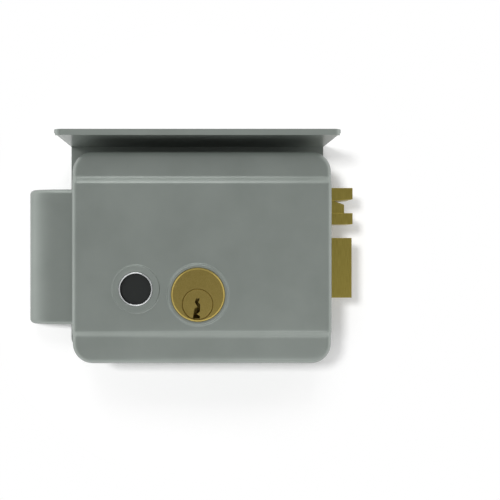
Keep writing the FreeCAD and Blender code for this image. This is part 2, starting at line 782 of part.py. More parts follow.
def make_lock_frame():
    """The steel frame over the bolts: a front plate, two legs with feet, and two spring stops."""
    frame = piece("lock_frame")
    wide_low = "latch_middle - latch_high / 2"
    wide_high = "cocking_middle + cocking_high / 2"
    corners = [
        ("frame_left", "frame_low"),
        ("frame_right", "frame_low"),
        ("frame_right", wide_low),
        ("frame_wide", wide_low),
        ("frame_wide", wide_high),
        ("frame_right", wide_high),
        ("frame_right", "frame_high"),
        ("frame_left", "frame_high"),
    ]
    slab(frame, FRAME_BACK, "frame_sheet", corners)
    reach = f"{FRAME_BACK} - {BASE_FRONT}"
    under_top = "frame_high - frame_sheet"
    for low, high in (("frame_low", "frame_low + frame_sheet"), (under_top, "frame_high")):
        slab(frame, BASE_FRONT, reach, box("frame_left", "frame_right", low, high))
    for low, high in (("frame_low - frame_foot", "frame_low"), (f"{under_top} - frame_foot", under_top)):
        slab(frame, BASE_FRONT, "frame_sheet", box("frame_left", "frame_right", low, high))
    for middle in ("latch_middle", "cocking_middle"):
        corners = box("stop_x", "stop_x + frame_sheet", f"{middle} - stop_half", f"{middle} + stop_half")
        slab(frame, "stop_away", f"{FRAME_BACK} - stop_away", corners)
    for up in ("draw_pivot_z", "load_pivot_z"):
        hole(frame, f"{FRAME_BACK} + frame_sheet", "frame_sheet", "pivot_x", up, "pivot_radius")
    for across, up in FRAME_SCREWS:
        hole(frame, f"{BASE_FRONT} + frame_sheet", "frame_sheet", across, up, "frame_screw")
    return frame


def make_lever_pivots():
    """Two headed pivots riveted in the frame's front plate, each reaching back through its lever."""
    body = piece("lever_pivots")
    back = "lever_away - fold_gap"
    front = f"{FRAME_BACK} + frame_sheet"
    for up in ("draw_pivot_z", "load_pivot_z"):
        disc(body, back, f"{front} - ({back})", "pivot_x", up, "pivot_radius")
        disc(body, front, "screw_rise", "pivot_x", up, "pivot_head")
        collar = "lever_away + lever_thick + fold_gap"
        disc(body, collar, f"{FRAME_BACK} - ({collar})", "pivot_x", up, "pivot_collar")
    return body


def make_bolt_rail():
    """The folded channel that carries both bolts from behind."""
    rail = piece("bolt_rail")
    low = "latch_middle - latch_high / 2"
    high = "cocking_middle + cocking_high / 2"
    right = "case_wide / 2 - base_sheet - fold_gap"
    back = "bolt_back - bolt_gap - frame_sheet"
    slab(rail, back, "frame_sheet", box("rail_left", right, low, high))
    for leg_low, leg_high in ((low, f"{low} + frame_sheet"), (f"{high} - frame_sheet", high)):
        leg = box("rail_left", right, leg_low, leg_high)
        slab(rail, BASE_FRONT, f"{back} - {BASE_FRONT}", leg)
    return rail


def make_bolt(label, middle, high, out, nose_bevel):
    """A brass bolt: a head with a spring bore, and a thin tail with the slot for its lever's pin."""
    bolt = piece(label)
    tip = f"(case_wide / 2 + {out})"
    if nose_bevel:
        head = [
            ("bolt_root", "-bolt_back"),
            (f"{tip} - latch_bevel", "-bolt_back"),
            (tip, f"-{BOLT_FRONT} + latch_nose"),
            (tip, f"-{BOLT_FRONT}"),
            ("bolt_root", f"-{BOLT_FRONT}"),
        ]
    else:
        head = box("bolt_root", tip, f"-{BOLT_FRONT}", "-bolt_back")
    grow(bolt, outline(bolt, "top", f"{middle} - {high} / 2", head), high)
    tail = box("tail_end", "bolt_root", f"{middle} - tail_half", f"{middle} + tail_half")
    slab(bolt, "bolt_back", "tail_thick", tail)
    bore = ring(bolt, "side", "bolt_root + spring_deep", "-spring_away", middle, "spring_bore")
    cut(bolt, bore, "spring_deep")
    pin_low, pin_high = (
        (f"draw_pivot_z + {PIN_RISE}", "draw_pivot_z + lever_arm")
        if nose_bevel
        else ("load_pivot_z - lever_arm", f"load_pivot_z - {PIN_RISE}")
    )
    half = "pin_radius + slot_gap"
    track = box(f"{PIN_X} - {half}", f"{PIN_X} + {half}", pin_low, pin_high)
    window(bolt, "bolt_back + tail_thick", "tail_thick", track)
    for up in (pin_low, pin_high):
        hole(bolt, "bolt_back + tail_thick", "tail_thick", PIN_X, up, half)
    return bolt


def make_main_latch():
    """The lower, wide bolt with its bevel at the back."""
    return make_bolt("main_latch", "latch_middle", "latch_high", "latch_out", True)


def make_cocking_bolt():
    """The upper bolt: a notch across its tip runs back as a wedge, over a face milled a little lower."""
    bolt = make_bolt("cocking_bolt", "cocking_middle", "cocking_high", "cocking_out", False)
    tip = "(case_wide / 2 + cocking_out)"
    floor = f"{tip} - notch_deep"
    notch = [
        (floor, "notch_low"),
        (f"{tip} + 1", "notch_low"),
        (f"{tip} + 1", "notch_high"),
        (f"{tip} - wedge_deep", "notch_high - wedge_drop"),
        (floor, "notch_high - wedge_low"),
    ]
    window(bolt, f"{BOLT_FRONT} + 1", "bolt_thick + 2", notch)
    step = [
        (f"{CASE_RIGHT} - bolt_travel / 2", "notch_low"),
        (f"{floor} + 1", "notch_low"),
        (f"{floor} + 1", "notch_high - wedge_low"),
        (f"{tip} - wedge_deep", "notch_high - wedge_drop"),
        (f"{CASE_RIGHT} - bolt_travel / 2", "notch_high - wedge_drop"),
    ]
    window(bolt, BOLT_FRONT, "step_deep", step)
    return bolt


def make_lever(label, pivot_z, points):
    """A flat lever on a pivot: arms to round ends, a pin through the bolt's tail and a spring ear."""
    lever = piece(label, "pivot_x", "0", pivot_z)
    disc(lever, "lever_away", "lever_thick", "0", "0", "lever_hub")
    for spot, radius in points:
        slab(lever, "lever_away", "lever_thick", bar(("0", "0"), spot, f"{radius} * arm_taper"))
        disc(lever, "lever_away", "lever_thick", *spot, radius)
    pin = points[0][0]
    front = "(lever_away + lever_thick)"
    disc(lever, front, f"bolt_back + tail_thick - {front}", *pin, "pin_radius")
    hole(lever, front, "lever_thick", "0", "0", "pivot_radius + running_gap")
    ear = points[-1][0]
    hole(lever, front, "lever_thick", *ear, "ear_radius / 2")
    return lever


def make_draw_lever():
    """The lever that draws the main latch; the key's cam pushes its foot."""
    points = [
        (("bolt_travel / 2", PIN_RISE), "lever_end"),
        (("foot_x", "foot_z"), "lever_end"),
        (("ear_x", "ear_rise"), "ear_radius"),
    ]
    return make_lever("draw_lever", "draw_pivot_z", points)


def make_load_lever():
    """The lever that the cocking bolt turns to stretch the draw spring."""
    points = [
        (("bolt_travel / 2", f"-{PIN_RISE}"), "lever_end"),
        (("ear_x", "-ear_drop"), "ear_radius"),
    ]
    return make_lever("load_lever", "load_pivot_z", points)


def make_cylinder_body():
    """The inside cylinder's round brass body, bored off centre for its plug."""
    body = piece("cylinder_body", "cylinder_x", "0", "cylinder_z")
    disc(body, "cylinder_back", "cylinder_front - cylinder_back", "0", "0", "cylinder_radius")
    soften(body, "cylinder_rim", edge_at(y=("-cylinder_front",)), "Chamfer")
    length = "cylinder_front - cylinder_back"
    hole(body, "cylinder_front", length, "plug_off_x", "-plug_drop", "plug_radius + running_gap")
    return body


def make_cylinder_nut():
    """The round nut that holds the cylinder behind the cover."""
    body = piece("cylinder_nut", "cylinder_x", "0", "cylinder_z")
    disc(body, f"{FACE_INSIDE} - nut_thick", "nut_thick", "0", "0", "nut_radius", "cylinder_radius")
    return body


def make_cylinder_plug():
    """The turning plug with its warded keyway, open almost to the rim below."""
    plug = piece("cylinder_plug", PLUG_X, "0", PLUG_Z)
    disc(plug, "cylinder_back", "cylinder_front - cylinder_back", "0", "0", "plug_radius")
    soften(plug, "plug_rim", edge_at(y=("-cylinder_front",)), "Chamfer")
    keyway = [
        ("-key_half * 0.4", "key_top"),
        ("-key_half * 0.7", "key_top * 0.35"),
        ("0", "-key_top * 0.4"),
        ("-key_half * 0.8", "-key_top * 0.7"),
        ("-key_half * 1.2", "-key_low"),
        ("key_half * 0.6", "-key_low"),
        ("key_half * 0.6", "-key_low * 0.82"),
        ("-key_half * 0.2", "-key_low * 0.68"),
        ("key_half * 0.6", "-key_low * 0.5"),
        ("key_half * 0.65", "0"),
        ("key_half * 0.15", "key_top * 0.35"),
        ("key_half * 0.55", "key_top"),
    ]
    window(plug, "cylinder_front", "key_deep", keyway)
    return plug


def make_cylinder_cam():
    """The tail bar on the plug and the cam that turns with it."""
    cam = piece("cylinder_cam", PLUG_X, "0", PLUG_Z)
    disc(cam, "lever_away", "lever_thick", "0", "0", "lever_hub")
    front = "(lever_away + lever_thick)"
    disc(cam, front, f"cylinder_back - {front}", "0", "0", "lever_hub * 0.6")
    slab(cam, "lever_away", "lever_thick", box("-cam_half", "cam_half", "-cam_reach + cam_half", "0"))
    disc(cam, "lever_away", "lever_thick", "0", "-cam_reach + cam_half", "cam_half")
    return cam


def make_button_cap():
    """The push button: a black disc with a bevelled edge on a stem."""
    cap = piece("button_cap", "button_x", "0", "button_z")
    disc(cap, BUTTON_BACK, "button_thick", "0", "0", "button_radius")
    disc(cap, "button_stem_end", f"{BUTTON_BACK} - button_stem_end", "0", "0", "button_stem")
    soften(cap, "button_edge", edge_at(y=("-button_face",)), "Chamfer")
    return cap


def make_button_bezel():
    """The chrome sleeve that guides the button, with a floor round its stem."""
    bezel = piece("button_bezel", "button_x", "0", "button_z")
    disc(bezel, BEZEL_BACK, f"bezel_front - {BEZEL_BACK}", "0", "0", "bezel_radius")
    soften(bezel, "button_edge", edge_at(y=("-bezel_front",)), "Chamfer")
    hole(bezel, "bezel_front", f"bezel_front - {BEZEL_FLOOR}", "0", "0", "button_radius + running_gap")
    hole(bezel, BEZEL_FLOOR, "case_wall", "0", "0", "button_stem + running_gap")
    return bezel


def make_button_nut():
    """The ring nut behind the cover that holds the bezel."""
    body = piece("button_nut", "button_x", "0", "button_z")
    disc(body, f"{FACE_INSIDE} - nut_thick", "nut_thick", "0", "0", "bezel_nut", "bezel_radius")
    return body


def make_coil_bobbin():
    """The plastic bobbin: a tube between two flanges."""
    bobbin = piece("coil_bobbin", "coil_x", "-coil_away", BOBBIN_LOW)
    grow(bobbin, ring(bobbin, "top", "0", "0", "0", "bobbin_tube"), "bobbin_high")
    for up in ("0", "bobbin_high - bobbin_flange"):
        grow(bobbin, ring(bobbin, "top", up, "0", "0", "bobbin_radius"), "bobbin_flange")
    cut(bobbin, ring(bobbin, "top", "bobbin_high", "0", "0", "core_radius"), "bobbin_high")
    return bobbin


def make_coil_winding():
    """The copper winding, which fills the bobbin between its flanges."""
    winding = piece("coil_winding", "coil_x", "-coil_away", f"{BOBBIN_LOW} + bobbin_flange")
    coil = ring(winding, "top", "0", "0", "0", "coil_radius", "bobbin_tube")
    grow(winding, coil, "bobbin_high - 2 * bobbin_flange")
    return winding


def make_coil_core():
    """The iron core, from the yoke up to just above the bobbin."""
    core = piece("coil_core", "coil_x", "-coil_away", "yoke_z")
    grow(core, ring(core, "top", "0", "0", "0", "core_radius"), "yoke_sheet + bobbin_high + core_rise")
    return core


def make_coil_yoke():
    """The iron yoke: a floor under the coil, a wall beside it with two hinge ears, and a foot."""
    yoke = piece("coil_yoke")
    back = "coil_away - yoke_half"
    wide = "2 * yoke_half"
    slab(yoke, back, wide, box("yoke_left", "yoke_right", "yoke_z", BOBBIN_LOW))
    wall_top = "hinge_z - hinge_knuckle - 2 * fold_gap"
    slab(yoke, back, wide, box("yoke_left", "yoke_left + yoke_sheet", "yoke_z", wall_top))
    ear_low = f"{wall_top} - 2 * yoke_sheet"
    for away in (back, f"{back} + {wide} - yoke_sheet"):
        ear = box("hinge_x - hinge_knuckle", "hinge_x + hinge_knuckle", ear_low, "hinge_z")
        slab(yoke, away, "yoke_sheet", ear)
        disc(yoke, away, "yoke_sheet", "hinge_x", "hinge_z", "hinge_knuckle")
        hole(yoke, f"{away} + yoke_sheet", "yoke_sheet", "hinge_x", "hinge_z", "hinge_pin")
    slab(yoke, BASE_FRONT, f"{back} - {BASE_FRONT}", box("yoke_left", "yoke_right", "yoke_z", BOBBIN_LOW))
    foot = box("yoke_left", "yoke_right", BOBBIN_LOW, f"{BOBBIN_LOW} + yoke_foot")
    slab(yoke, BASE_FRONT, "yoke_sheet", foot)
    for across, up in YOKE_SCREWS:
        hole(yoke, f"{BASE_FRONT} + yoke_sheet", "yoke_sheet", across, up, "frame_screw")
    cut(yoke, ring(yoke, "top", BOBBIN_LOW, "coil_x", "-coil_away", "core_radius"), "yoke_sheet")
    return yoke


def make_hinge_pin():
    """The pin through the yoke's ears and the armature's knuckle."""
    pin = piece("armature_pin")
    disc(pin, "coil_away - yoke_half", "2 * yoke_half", "hinge_x", "hinge_z", "hinge_pin")
    return pin


def make_armature():
    """The rocking armature: a plate over the coil with a hook, and an arm down to the button's stem."""
    armature = piece("armature", "hinge_x", "0", "hinge_z")
    back = "coil_away - yoke_half + yoke_sheet + fold_gap"
    wide = "2 * (yoke_half - yoke_sheet - fold_gap)"
    plate_low = "-armature_thick / 2"
    disc(armature, back, wide, "0", "0", "hinge_knuckle")
    end = "armature_end - hinge_x"
    slab(armature, back, wide, box("0", end, plate_low, "armature_thick / 2"))
    slab(armature, back, wide, box(f"{end} - armature_thick", end, f"{plate_low} - hook_drop", plate_low))
    arm_left = "-hinge_knuckle - arm_sheet + fold_gap"
    arm_right = "-hinge_knuckle + 2 * fold_gap"
    foot = "armature_foot - hinge_z"
    foot_top = f"{foot} + foot_high"
    slab(armature, "foot_away", "arm_wide", box(arm_left, arm_right, foot_top, "armature_thick"))
    slab(armature, "foot_away", "arm_sheet", box("foot_left - hinge_x", arm_right, foot, foot_top))
    hole(armature, f"{back} + {wide}", wide, "0", "0", "hinge_pin + running_gap")
    return armature


def make_terminal_block():
    """The two-way terminal block: wire ports at its end and a screw well over each."""
    block = piece("terminal_block")
    top = "block_low + block_high"
    slab(block, BASE_FRONT, "block_deep", box("block_left", "block_right", "block_low", top))
    for across, up in TERMINALS:
        hole(block, f"{BASE_FRONT} + block_deep", "terminal_deep", across, up, "terminal_well")
        sides = (f"{across} - port_half", f"{across} + port_half")
        port = box(*sides, f"-{BASE_FRONT} - 3 * port_half", f"-{BASE_FRONT} - port_half")
        cut(block, outline(block, "top", top, port), "port_half")
    return block


def make_cable_grommet():
    """The rubber grommet in the cable hole."""
    grommet = piece("cable_grommet", "cable_x", "0", "cable_z")
    disc(grommet, "0", BASE_FRONT, "0", "0", "cable_radius", "grommet_bore")
    disc(grommet, BASE_FRONT, "screw_rise", "0", "0", "grommet_flange", "grommet_bore")
    return grommet


def make_springs():
    """The coil springs of the two bolts, the levers, the armature and the button."""
    stop = "stop_x + frame_sheet"
    length = f"bolt_root + spring_deep - ({stop})"
    return [
        spring("latch_spring", "front", "H_Axis", length, 6, (stop, "-spring_away", "latch_middle")),
        spring("cocking_spring", "front", "H_Axis", length, 6, (stop, "-spring_away", "cocking_middle")),
        spring(
            "draw_spring", "front", "V_Axis",
            "load_pivot_z - ear_drop - draw_pivot_z - ear_rise - 2 * ear_radius", 6,
            ("pivot_x + ear_x", "-lever_away - lever_thick / 2", "draw_pivot_z + ear_rise + ear_radius"),
            "lever_thick * 0.8",
        ),
        spring(
            "armature_spring", "front", "V_Axis",
            f"hinge_z - armature_thick / 2 - {BOBBIN_LOW}", 5,
            ("return_spring_x", "-coil_away", BOBBIN_LOW),
        ),
        spring(
            "button_spring", "top", "V_Axis",
            f"{BUTTON_BACK} - {BEZEL_FLOOR}", 4,
            ("button_x", f"-{BUTTON_BACK}", "button_z"),
            "button_stem + wire_side * 3",
        ),
    ]


def make_guide_screws():
    """Shouldered screws that the carriage slides along."""
    under = f"{CARRIAGE_FRONT} + fold_gap"
    return screws("guide_screws", GUIDES, "guide_head", "guide_radius", under, "screw_rise", f"{under} - hood_sheet")


def make_frame_screws():
    """Screws that hold the frame's feet to the base plate."""
    sizes = ("frame_screw_head", "frame_screw", f"{BASE_FRONT} + frame_sheet", "screw_rise")
    return screws("frame_screws", FRAME_SCREWS, *sizes, "frame_sheet + base_sheet")


def make_yoke_screws():
    """Screws that hold the yoke's foot to the base plate."""
    sizes = ("frame_screw_head", "frame_screw", f"{BASE_FRONT} + yoke_sheet", "screw_rise")
    return screws("yoke_screws", YOKE_SCREWS, *sizes, "yoke_sheet + base_sheet")


def make_terminal_screws():
    """Screws that clamp the wires in the terminal block."""
    under = f"{BASE_FRONT} + block_deep - terminal_deep / 2"
    sizes = ("terminal_head", "terminal_shank", under, "screw_rise")
    return screws("terminal_screws", TERMINALS, *sizes, "terminal_deep / 2")


def write_parts(parts):
    """Check every object, then write each sub-part to its own file."""
    document.recompute()
    for thing in document.Objects:
        if "Invalid" in thing.State or "Error" in thing.State:
            raise RuntimeError(f"{thing.Name} is {thing.State}")
    for body in parts:
        if body.Shape.isNull() or not body.Shape.isValid():
            raise RuntimeError(f"{body.Label} has no valid shape")
    os.makedirs("parts", exist_ok=True)
    for body in parts:
        body.Shape.exportStep(f"parts/{body.Label}.step")
        bounds = body.Shape.BoundBox
        print(body.Label, len(body.Shape.Solids), round(body.Shape.Volume, 1), bounds)


write_parts([
    make_rain_hood(),
    make_base_plate(),
    make_front_cover(),
    make_cover_screws(),
    make_slide_plate(),
    make_side_wing(),
    make_wing_rivets(),
    make_guide_screws(),
    make_lock_frame(),
    make_frame_screws(),
    make_lever_pivots(),
    make_bolt_rail(),
    make_main_latch(),
    make_cocking_bolt(),
    make_draw_lever(),
    make_load_lever(),
    make_cylinder_body(),
    make_cylinder_nut(),
    make_cylinder_plug(),
    make_cylinder_cam(),
    make_button_cap(),
    make_button_bezel(),
    make_button_nut(),
    make_coil_bobbin(),
    make_coil_winding(),
    make_coil_core(),
    make_coil_yoke(),
    make_yoke_screws(),
    make_hinge_pin(),
    make_armature(),
    make_terminal_block(),
    make_terminal_screws(),
    make_cable_grommet(),
    *make_springs(),
])
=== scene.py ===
import json
import math

import bmesh
import bpy
import numpy as np
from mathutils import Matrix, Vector


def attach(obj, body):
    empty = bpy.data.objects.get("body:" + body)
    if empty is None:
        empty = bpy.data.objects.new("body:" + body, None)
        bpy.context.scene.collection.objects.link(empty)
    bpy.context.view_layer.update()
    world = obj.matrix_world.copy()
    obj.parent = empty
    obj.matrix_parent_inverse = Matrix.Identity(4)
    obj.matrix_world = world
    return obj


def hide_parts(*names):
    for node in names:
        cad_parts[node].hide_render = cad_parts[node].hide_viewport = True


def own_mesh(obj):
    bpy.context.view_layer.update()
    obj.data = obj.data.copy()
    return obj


# An electric gate lock: pressed grey case under a rain hood, brass bolts, key cylinder and push button.
# Metres; X runs towards the bolts, Z up, and the front looks along -Y.

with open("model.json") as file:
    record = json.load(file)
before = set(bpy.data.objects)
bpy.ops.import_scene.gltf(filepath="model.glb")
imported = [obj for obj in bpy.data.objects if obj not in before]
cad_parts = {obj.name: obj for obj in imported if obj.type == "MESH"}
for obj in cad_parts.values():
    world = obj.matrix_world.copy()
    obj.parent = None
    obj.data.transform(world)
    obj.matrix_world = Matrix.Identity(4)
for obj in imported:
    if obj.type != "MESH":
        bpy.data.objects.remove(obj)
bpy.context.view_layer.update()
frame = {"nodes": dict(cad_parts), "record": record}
MM = 0.001
# Brightness of the pale tent round the lock: in front, at its sides, and how much stronger gloss sees it.
TENT_FRONT, TENT_SIDE, TENT_GLOSS = 0.12, 0.8, 2.2


def linear(colour):
    """An sRGB hex colour as the linear values that a shader takes."""
    parts = [int(colour[start:start + 2], 16) / 255 for start in (1, 3, 5)]
    curved = [part / 12.92 if part <= 0.04045 else ((part + 0.055) / 1.055) ** 2.4 for part in parts]
    return tuple(curved) + (1.0,)


def add(tree, kind, inputs=None, **settings):
    """One node with its settings; each input is given a value or another node's socket."""
    made = tree.nodes.new(kind)
    for name, value in settings.items():
        setattr(made, name, value)
    for name, value in (inputs or {}).items():
        if isinstance(value, bpy.types.NodeSocket):
            tree.links.new(value, made.inputs[name])
        else:
            made.inputs[name].default_value = value
    return made


def make_finish(name, low, high, grain, rough, deep, detail=2.0, ends=(0.3, 0.7), stretch=(1, 1, 1),
                cloud=None, **shader):
    """A procedural finish: fine noise of a real grain size varies its colour, gloss and relief.

    Colours are sRGB hex values, the grain and the relief are in millimetres, and rough is the lowest and
    highest roughness. Stretch is small along the direction of tool or rolling marks. A cloud, also in
    millimetres, varies the colour in its place. What is the same all over is set on the shader itself.
    """
    made = bpy.data.materials.new(name)
    made.use_nodes = True
    tree = made.node_tree
    tree.nodes.clear()
    shader_node = add(tree, "ShaderNodeBsdfPrincipled", shader)
    add(tree, "ShaderNodeOutputMaterial", {"Surface": shader_node.outputs[0]})
    spot = add(tree, "ShaderNodeTexCoord")
    marks = add(tree, "ShaderNodeMapping", {
        "Vector": spot.outputs["Object"], "Scale": stretch,
    }, vector_type="POINT")
    fine = add(tree, "ShaderNodeTexNoise", {
        "Vector": marks.outputs[0], "Scale": 1 / (grain * MM), "Detail": detail,
    })
    patches = fine
    if cloud:
        patches = add(tree, "ShaderNodeTexNoise", {
            "Vector": marks.outputs[0], "Scale": 1 / (cloud * MM), "Detail": 3.0,
        })
    ramp = add(tree, "ShaderNodeValToRGB", {"Fac": patches.outputs["Fac"]})
    for stop, place, colour in zip(ramp.color_ramp.elements, ends, (low, high)):
        stop.position = place
        stop.color = linear(colour)
    gloss = add(tree, "ShaderNodeMapRange", {
        "Value": fine.outputs["Fac"], "To Min": rough[0], "To Max": rough[1],
    })
    relief = add(tree, "ShaderNodeBump", {
        "Height": fine.outputs["Fac"], "Distance": deep * MM, "Strength": 1.0,
    })
    tree.links.new(ramp.outputs["Color"], shader_node.inputs["Base Color"])
    tree.links.new(gloss.outputs["Result"], shader_node.inputs["Roughness"])
    tree.links.new(relief.outputs[0], shader_node.inputs["Normal"])
    return made


PLATED = {"grain": 0.35, "deep": 0.004, "stretch": (0.06, 1, 1), "Metallic": 1.0}
CUT_BRASS = {"grain": 0.3, "deep": 0.004, "ends": (0.25, 0.75), "Metallic": 1.0}
finishes = {
    # Satin powder coat on pressed steel: a soft sheen, faint orange peel and a slightly uneven grey.
    "grey_paint": make_finish(
        "satin_powder_coat", "#868D88", "#8D948F", 0.9, (0.42, 0.50), 0.012, cloud=22, Metallic=0.6,
        **{"Coat Weight": 0.5, "Coat Roughness": 0.2},
    ),
    # Bright zinc plate on rolled sheet: cool, clean metal with a faint grain along X.
    "zinc_steel": make_finish("bright_zinc_plate", "#9A9C9C", "#B4B6B6", rough=(0.30, 0.42), **PLATED),
    # Milled brass bar: a dull greenish yellow with long fine tool marks up the bolts.
    "brass": make_finish(
        "milled_brass", "#A39348", "#B5A556", rough=(0.33, 0.46), stretch=(1, 1, 0.06), **CUT_BRASS,
    ),
    # Turned brass: a warmer and slightly smoother yellow with short marks.
    "turned_brass": make_finish(
        "turned_brass", "#A5914E", "#B8A45F", rough=(0.29, 0.42), stretch=(1, 1, 0.5), **CUT_BRASS,
    ),
    # Polished chrome plate: a near mirror that shows as a thin bright ring.
    "chrome": make_finish(
        "polished_chrome", "#D8DADB", "#E2E4E5", 0.5, (0.04, 0.14), 0.001, 3.0, Metallic=1.0,
    ),
    # Moulded nylon: near black, with a fine even grain that keeps it matt.
    "black_plastic": make_finish(
        "moulded_nylon", "#0C0F0E", "#141817", 0.3, (0.45, 0.55), 0.01, 3.0, Metallic=0.0,
    ),
    # Enamelled copper wire: a brown red with a soft shine along the turns.
    "copper_wire": make_finish("enamelled_copper", "#8C4A24", "#A85C30", rough=(0.29, 0.41), **PLATED),
    # Plain soft iron: dull mid grey, bare of any plate.
    "soft_iron": make_finish(
        "plain_soft_iron", "#6B6B6A", "#7C7C7B", 0.6, (0.45, 0.55), 0.01, 3.0, Metallic=1.0,
    ),
    # Moulded rubber: black and quite dull.
    "black_rubber": make_finish(
        "moulded_rubber", "#141414", "#1C1C1C", 0.4, (0.65, 0.75), 0.01, 3.0, Metallic=0.0,
    ),
    # Drawn spring wire: a darker steel with a soft shine.
    "spring_steel": make_finish("drawn_spring_wire", "#6E6F70", "#8A8B8C", rough=(0.29, 0.41), **PLATED),
}
# Two turned pieces share the bolts' slot, but not their tool marks.
special = {"cylinder_body": "turned_brass", "cylinder_plug": "turned_brass"}
for part in frame["record"]["subparts"]:
    for place in frame["nodes"][part["node"]].material_slots:
        place.material = finishes[special.get(part["node"], part["material_slot"])]


def quads(rows, columns, closed=False):
    """The four-cornered faces of a grid of points; closed joins its last column to its first."""
    index = np.arange(rows * columns).reshape(rows, columns)
    if closed:
        index = np.hstack([index, index[:, :1]])
    corners = [index[:-1, :-1], index[:-1, 1:], index[1:, 1:], index[1:, :-1]]
    return np.stack(corners, axis=-1).reshape(-1, 4)


def surface(name, grids, finish):
    """One smooth object from several grids of points in millimetres, joined where their points meet."""
    starts = np.cumsum([0] + [len(points) for points, faces in grids[:-1]])
    faces = np.vstack([faces + start for (points, faces), start in zip(grids, starts)])
    points = np.vstack([points for points, faces in grids])
    kept, first, joined = np.unique(np.round(points, 3), axis=0, return_index=True, return_inverse=True)
    faces = joined.reshape(-1)[faces]
    same = faces == np.roll(faces, -1, axis=1)
    pinched = faces[same.sum(axis=1) == 1]
    turn = (np.arange(4) + np.argmax(same[same.sum(axis=1) == 1], axis=1)[:, None] + 1) % 4
    corners = np.take_along_axis(pinched, turn, axis=1)[:, :3]
    mesh = bpy.data.meshes.new(name)
    whole = faces[~same.any(axis=1)]
    mesh.from_pydata((points[first] * MM).tolist(), [], whole.tolist() + corners.tolist())
    mesh.shade_smooth()
    mesh.materials.append(finishes[finish])
    made = bpy.data.objects.new(name, mesh)
    bpy.context.scene.collection.objects.link(made)
    return made


def ease(value):
    """A smooth step from 0 to 1."""
    part = np.clip(value, 0, 1)
    return part * part * (3 - 2 * part)


def soft_ramp(value, rounding):
    """A straight rise from 0 at 0 to 1 at 1, its two bends rounded."""
    return (np.hypot(value, rounding) - np.hypot(value - 1, rounding) + 1) / 2


# The pressed cover, in millimetres from the middle of the case. Depths are distances from the gate.
SIDE, TOP, DEEP, CORNER, EDGE, BACK = 66.6, 54.55, 40.0, 10.5, 3.0, 1.5
BAND_TOP, BAND_LOW, STEP, TOP_BEVEL, LOW_BEVEL = 38.1, 37.7, 1.8, 3.3, 2.6
COVER_SHEET = 1.4
# The openings in its walls: for the wing, for the forend, and for a screw at each end of its lower wall.
WING_GAP = {"half": 37.2, "deep": 18.1}
FOREND_GAP = {"low": -23.6, "high": 38.8, "deep": 29.2}
SCREW_GAP = {"aside": 50.0, "deep": 9.0, "hole": 2.95, "half": 4.5}
# Its two holes: radius, how far the collar rises, the radii of the collar's flat and foot, and half the
# square round it that is ringed.
HOLES = {
    "cylinder": {
        "centre": (-2.0, -18.8), "hole": 13.65, "rise": 1.0, "flat": 15.0, "foot": 16.1, "half": 17.6,
    },
    "button": {
        "centre": (-33.7, -16.0), "hole": 8.7, "rise": 1.0, "flat": 11.85, "foot": 12.4, "half": 14.1,
    },
}


def face_deep(z):
    """How far the cover's face stands out at a height: a raised band between two rounded creases."""
    above = soft_ramp((z - BAND_TOP) / TOP_BEVEL, 0.16)
    below = soft_ramp((-z - BAND_LOW) / LOW_BEVEL, 0.2)
    return DEEP - STEP * (above + below)


def spread(*spans):
    """Sorted places along an axis: each span gives its start, end and number of steps."""
    places = [np.linspace(low, high, steps + 1) for low, high, steps in spans]
    return np.unique(np.round(np.concatenate(places), 3))


# Places across and up the face, closer where it bends and one at each edge of an opening or patch.
FACE_X = spread(
    (-56.1, -54.5, 1), (-54.5, -47.8, 5), (-54.5, -45.5, 6), (-47.8, -19.6, 22), (-19.6, 15.6, 28),
    (15.6, 45.5, 24), (45.5, 54.5, 6), (54.5, 56.1, 1),
)
FACE_Z = spread(
    (-44.05, -41.9, 3), (-41.9, -36.4, 18), (-36.4, -30.1, 5), (-30.1, -23.6, 5), (-23.6, -1.9, 17),
    (-1.9, -1.2, 1), (-1.2, 37.2, 26), (37.2, 42.4, 18), (42.4, 44.05, 2), (-37.2, -37.2, 0),
    (38.8, 38.8, 0),
)
# The depths of the rows of points down the side walls.
WALL_DEEP = np.array([33.0, 29.2, 23.5, 18.1, 13.5, 12.0, 10.5, 9.0, 7.5, 6.0, 4.5, BACK])


def square_path(across, up):
    """The points once round a rectangle, from lists of places along its two axes."""
    low, right = [(x, up[0]) for x in across], [(across[-1], z) for z in up]
    high, left = [(x, up[-1]) for x in across[::-1]], [(across[0], z) for z in up[::-1]]
    return np.array(low[:-1] + right[:-1] + high[:-1] + left[:-1])


def within(places, low, high):
    """The places from low to high."""
    return places[(places > low - 1e-6) & (places < high + 1e-6)]


def patch(spot, across, up, radii, lift):
    """Rings from a round hole out to a rectangle: each point moves straight out from the hole's centre."""
    border = square_path(across, up) - spot
    reach = np.hypot(*border.T)
    rings = [border / reach[:, None] * radius for radius in radii] + [border]
    flat = np.vstack(rings) + spot
    away = np.hypot(*(flat - spot).T)
    return flat, lift(away), quads(len(rings), len(border), closed=True)


